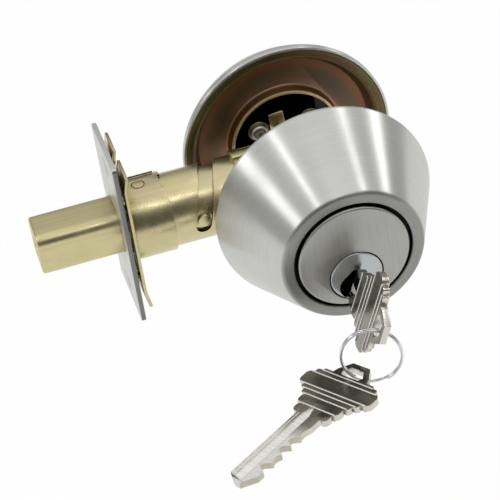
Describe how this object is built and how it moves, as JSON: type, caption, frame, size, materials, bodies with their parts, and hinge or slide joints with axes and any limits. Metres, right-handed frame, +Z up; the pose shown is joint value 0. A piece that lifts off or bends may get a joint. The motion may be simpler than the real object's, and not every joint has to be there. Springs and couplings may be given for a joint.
{
  "type": "deadbolt door lock",
  "caption": "Deadbolt door lock with tapered keyed collar, tubular latch with faceplate and thrown bolt, thumbturn rose, and keys on a split ring.",
  "frame": {"origin": "where the axis of the door's cross bore meets the bolt's axis, in the middle of a 35 mm door", "axes": "+X from the door's edge toward the hinges, so the bolt points along -X; +Y from outside to inside through the door; +Z up"},
  "size_m": [0.1196, 0.1432, 0.0678],
  "materials": {
    "satin_steel": "satin brushed stainless steel",
    "cylinder_face": "satin nickel on die-cast zinc",
    "plug_face": "satin nickel on brass",
    "key_nickel": "bright nickel on brass",
    "ring_nickel": "bright nickel-plated spring steel",
    "yellow_zinc": "yellow chromate on zinc-plated steel",
    "green_zinc": "olive chromate on zinc-plated steel",
    "dark_chromate": "iridescent dark chromate on zinc-plated steel",
    "black_nylon": "black moulded nylon",
    "pin_brass": "turned brass",
    "plain_steel": "plain bright steel"
  },
  "bodies": {
    "lock_body": {"cylinder_collar": "satin_steel", "collar_ring": "plain_steel", "cylinder_body": "cylinder_face", "chamber_cover": "plain_steel", "driver_pins": "pin_brass", "pin_springs": "plain_steel", "tailpiece_cap": "plain_steel", "faceplate": "satin_steel", "backing_plate": "yellow_zinc", "front_sleeve": "yellow_zinc", "sleeve_rivets": "yellow_zinc", "latch_tube": "yellow_zinc", "inner_tube": "yellow_zinc", "backset_pin": "yellow_zinc", "case_front": "yellow_zinc", "case_back": "yellow_zinc", "case_rivets": "yellow_zinc", "rose_cover": "satin_steel", "rose_backing": "dark_chromate", "thumbturn_bush": "black_nylon", "bush_screws": "plain_steel", "bush_washers": "green_zinc", "detent_spring": "yellow_zinc", "mounting_screws": "plain_steel"},
    "thumbturn_set": {"thumbturn": "satin_steel", "thumbturn_clip": "plain_steel", "tailpiece": "plain_steel", "bolt_cam": "yellow_zinc", "cam_pin": "plain_steel"},
    "bolt_set": {"bolt": "yellow_zinc", "bolt_insert": "plain_steel", "bolt_tail": "yellow_zinc", "tail_rivet": "plain_steel"},
    "plug_set": {"plug": "plug_face", "key_pins": "pin_brass", "plug_clip": "plain_steel", "plug_driver": "plain_steel"},
    "key_set": {"key": "key_nickel"},
    "ring_set": {"key_ring": "ring_nickel"},
    "spare_key_set": {"spare_key": "key_nickel"}
  },
  "joints": [
    {"name": "thumbturn_turn", "type": "hinge", "parent": "lock_body", "child": "thumbturn_set", "pos_m": [0, 0, -0.0068], "axis": [0, 1, 0], "range_deg": [0, 90]},
    {"name": "bolt_slide", "type": "slide", "parent": "lock_body", "child": "bolt_set", "axis": [1, 0, 0], "range_m": [0, 0.0254]},
    {"name": "plug_turn", "type": "hinge", "parent": "thumbturn_set", "child": "plug_set", "pos_m": [0, 0, -0.0068], "axis": [0, 1, 0], "range_deg": [-126, 0]},
    {"name": "key_slide", "type": "slide", "parent": "plug_set", "child": "key_set", "axis": [0, -1, 0], "range_m": [0, 0.034]},
    {"name": "ring_swing", "type": "hinge", "parent": "key_set", "child": "ring_set", "pos_m": [-0.0013, -0.0683, -0.01037], "axis": [-0.9397, 0, 0.342], "range_deg": [-15, 60]},
    {"name": "spare_key_swing", "type": "hinge", "parent": "ring_set", "child": "spare_key_set", "pos_m": [-0.00999, -0.06756, -0.02508], "axis": [-0.059, 0.0832, 0.9948], "range_deg": [-30, 40]}
  ],
  "couplings": [
    {"joint": "bolt_slide", "follows": "thumbturn_turn", "m_per_rad": 0.01617}
  ]
}
